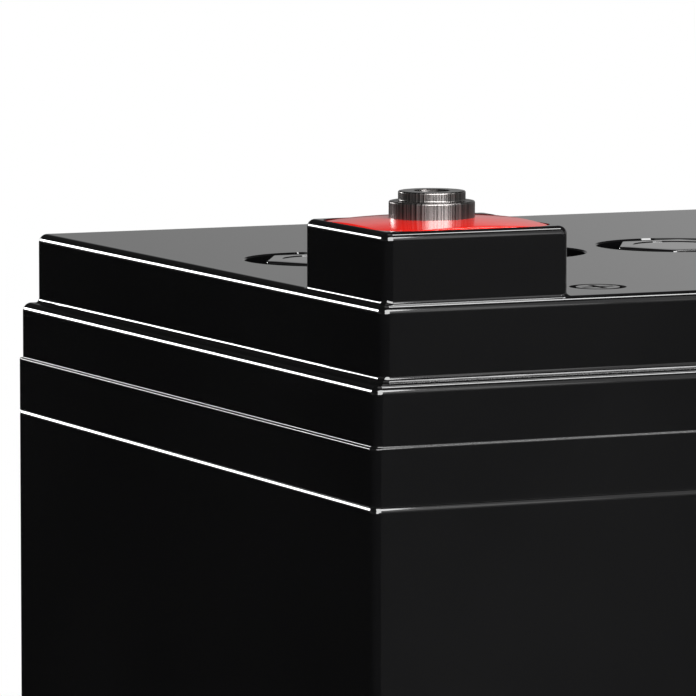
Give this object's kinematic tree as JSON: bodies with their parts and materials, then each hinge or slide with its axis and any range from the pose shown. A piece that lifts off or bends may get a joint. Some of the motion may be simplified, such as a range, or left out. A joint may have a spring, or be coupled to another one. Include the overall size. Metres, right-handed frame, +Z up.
{
  "type": "sealed lead acid battery",
  "caption": "Sealed lead acid battery: a black rectangular block with a three-tier cover, hexagonal vent plugs and threaded terminals on square bosses at two corners.",
  "frame": {"origin": "centre of the base, on the surface it stands on", "axes": "+X along the long side, positive terminal at -X; +Y away from the broad front face that the terminals stand at; +Z up"},
  "size_m": [0.195, 0.131, 0.169],
  "materials": {
    "container_plastic": "satin moulded",
    "cover_plastic": "satin moulded",
    "plug_plastic": "satin moulded",
    "terminal_steel": "turned",
    "red_resin": "cast, glossy",
    "black_resin": "cast, glossy",
    "lead": "dull cast lead",
    "glass_mat": "matt felt",
    "rubber": "matt"
  },
  "bodies": {
    "root": {"container": "container_plastic", "cover": "cover_plastic", "positive_terminal": "terminal_steel", "negative_terminal": "terminal_steel", "positive_resin": "red_resin", "negative_resin": "black_resin", "vent_plug_1": "plug_plastic", "vent_plug_2": "plug_plastic", "vent_plug_3": "plug_plastic", "vent_plug_4": "plug_plastic", "vent_plug_5": "plug_plastic", "vent_plug_6": "plug_plastic", "positive_group_1": "lead", "negative_group_1": "lead", "separator_pack_1": "glass_mat", "vent_gasket_1": "rubber", "safety_valve_1": "rubber", "positive_group_2": "lead", "negative_group_2": "lead", "separator_pack_2": "glass_mat", "vent_gasket_2": "rubber", "safety_valve_2": "rubber", "positive_group_3": "lead", "negative_group_3": "lead", "separator_pack_3": "glass_mat", "vent_gasket_3": "rubber", "safety_valve_3": "rubber", "positive_group_4": "lead", "negative_group_4": "lead", "separator_pack_4": "glass_mat", "vent_gasket_4": "rubber", "safety_valve_4": "rubber", "positive_group_5": "lead", "negative_group_5": "lead", "separator_pack_5": "glass_mat", "vent_gasket_5": "rubber", "safety_valve_5": "rubber", "positive_group_6": "lead", "negative_group_6": "lead", "separator_pack_6": "glass_mat", "vent_gasket_6": "rubber", "safety_valve_6": "rubber", "intercell_weld_1": "lead", "intercell_weld_2": "lead", "intercell_weld_3": "lead", "intercell_weld_4": "lead", "intercell_weld_5": "lead", "positive_post": "lead", "negative_post": "lead", "positive_post_seal": "rubber", "negative_post_seal": "rubber"}
  },
  "joints": []
}
